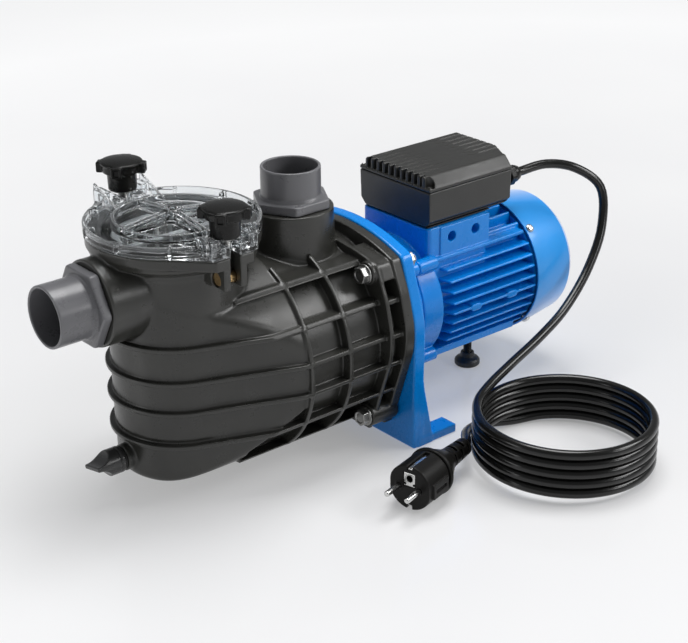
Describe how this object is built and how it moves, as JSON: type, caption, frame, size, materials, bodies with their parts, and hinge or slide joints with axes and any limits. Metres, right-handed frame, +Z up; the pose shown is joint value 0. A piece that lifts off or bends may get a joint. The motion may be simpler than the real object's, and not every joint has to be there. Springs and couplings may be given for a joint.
{
  "type": "pool pump",
  "caption": "Self-priming pool pump with clear strainer lid held by swing bolts, suction and discharge pipe ends, finned motor on a bracket, terminal box and coiled power cable.",
  "frame": {"origin": "on the floor under the shaft, in the middle of the bracket plate's thickness", "axes": "+X along the shaft from the strainer to the motor, +Z up, +Y to the left when looking along +X"},
  "size_m": [0.5545, 0.3599, 0.2585],
  "materials": {
    "casing": "satin glass-filled plastic",
    "dark_plastic": "satin moulded plastic",
    "grey_pvc": "smooth PVC",
    "clear": "clear polycarbonate",
    "rubber": "matt rubber",
    "cable_rubber": "glossy cable sheath",
    "blue_paint": "semi-gloss paint",
    "zinc_steel": "zinc plated",
    "nickel": "nickel plated",
    "lamination": "stacked sheet",
    "copper": "varnished copper wire",
    "brass": "plain brass",
    "white_plastic": "moulded",
    "inner_plastic": "moulded",
    "ceramic": "lapped ceramic"
  },
  "bodies": {
    "pump": {"pump_casing": "casing", "lid_gasket": "rubber", "strainer_lid": "clear", "strainer_basket": "inner_plastic", "suction_union": "grey_pvc", "discharge_union": "grey_pvc", "casing_oring": "rubber", "seal_plate": "inner_plastic", "seal_seat": "ceramic", "diffuser": "inner_plastic", "motor_bracket": "blue_paint", "front_shield": "blue_paint", "motor_housing": "blue_paint", "stator_core": "lamination", "stator_winding": "copper", "front_bearing": "zinc_steel", "rear_bearing": "zinc_steel", "rear_shield": "blue_paint", "fan_cowl": "blue_paint", "terminal_box": "dark_plastic", "terminal_box_lid": "dark_plastic", "terminal_gasket": "rubber", "capacitor": "white_plastic", "terminal_block": "white_plastic", "cable_gland": "dark_plastic", "power_cable": "cable_rubber", "plug_body": "dark_plastic", "plug_pin_left": "nickel", "plug_pin_right": "nickel", "earth_strap": "nickel", "casing_bolt_1": "zinc_steel", "casing_nut_1": "zinc_steel", "cowl_screw_1": "zinc_steel", "casing_bolt_2": "zinc_steel", "casing_nut_2": "zinc_steel", "cowl_screw_2": "zinc_steel", "casing_bolt_3": "zinc_steel", "casing_nut_3": "zinc_steel", "cowl_screw_3": "zinc_steel", "casing_bolt_4": "zinc_steel", "casing_nut_4": "zinc_steel", "cowl_screw_4": "zinc_steel"},
    "rotor": {"motor_shaft": "zinc_steel", "rotor_core": "lamination", "impeller": "inner_plastic", "cooling_fan": "dark_plastic", "seal_head": "zinc_steel"},
    "bolt_left": {"bolt_barrel_left": "brass", "swing_bolt_left": "zinc_steel"},
    "washer_left": {"knob_washer_left": "zinc_steel"},
    "knob_left": {"knob_left": "dark_plastic"},
    "bolt_right": {"bolt_barrel_right": "brass", "swing_bolt_right": "zinc_steel"},
    "washer_right": {"knob_washer_right": "zinc_steel"},
    "knob_right": {"knob_right": "dark_plastic"},
    "drain_seal": {"drain_gasket": "rubber"},
    "drain_plug": {"drain_plug": "inner_plastic"},
    "foot": {"foot_stem": "dark_plastic", "foot_pad": "rubber"}
  },
  "joints": [
    {"name": "shaft_spin", "type": "hinge", "parent": "pump", "child": "rotor", "pos_m": [0.08, 0, 0.0975], "axis": [1, 0, 0], "continuous": true},
    {"name": "bolt_left_swing", "type": "hinge", "parent": "pump", "child": "bolt_left", "pos_m": [-0.177, 0.0703, 0.2], "axis": [-1, 0, 0], "range_deg": [0, 75]},
    {"name": "knob_left_lift", "type": "slide", "parent": "bolt_left", "child": "washer_left", "axis": [0, 0, 1], "range_m": [0, 0.0051]},
    {"name": "knob_left_turn", "type": "hinge", "parent": "washer_left", "child": "knob_left", "pos_m": [-0.177, 0.0703, 0.233], "axis": [0, 0, 1], "range_deg": [0, 1440]},
    {"name": "bolt_right_swing", "type": "hinge", "parent": "pump", "child": "bolt_right", "pos_m": [-0.177, -0.0703, 0.2], "axis": [1, 0, 0], "range_deg": [0, 75]},
    {"name": "knob_right_lift", "type": "slide", "parent": "bolt_right", "child": "washer_right", "axis": [0, 0, 1], "range_m": [0, 0.0051]},
    {"name": "knob_right_turn", "type": "hinge", "parent": "washer_right", "child": "knob_right", "pos_m": [-0.177, -0.0703, 0.233], "axis": [0, 0, 1], "range_deg": [0, 1440]},
    {"name": "drain_plug_travel", "type": "slide", "parent": "pump", "child": "drain_seal", "axis": [-1, 0, 0], "range_m": [0, 0.0061]},
    {"name": "drain_plug_turn", "type": "hinge", "parent": "drain_seal", "child": "drain_plug", "pos_m": [-0.24, 0, 0.037], "axis": [-1, 0, 0], "range_deg": [0, 1080]},
    {"name": "foot_turn", "type": "hinge", "parent": "pump", "child": "foot", "pos_m": [0.147, 0, 0.006], "axis": [0, 0, 1], "range_deg": [-720, 720]}
  ],
  "couplings": [
    {"joint": "knob_left_lift", "follows": "knob_left_turn", "m_per_rad": 0.00019894},
    {"joint": "knob_right_lift", "follows": "knob_right_turn", "m_per_rad": 0.00019894},
    {"joint": "drain_plug_travel", "follows": "drain_plug_turn", "m_per_rad": 0.00031831}
  ]
}
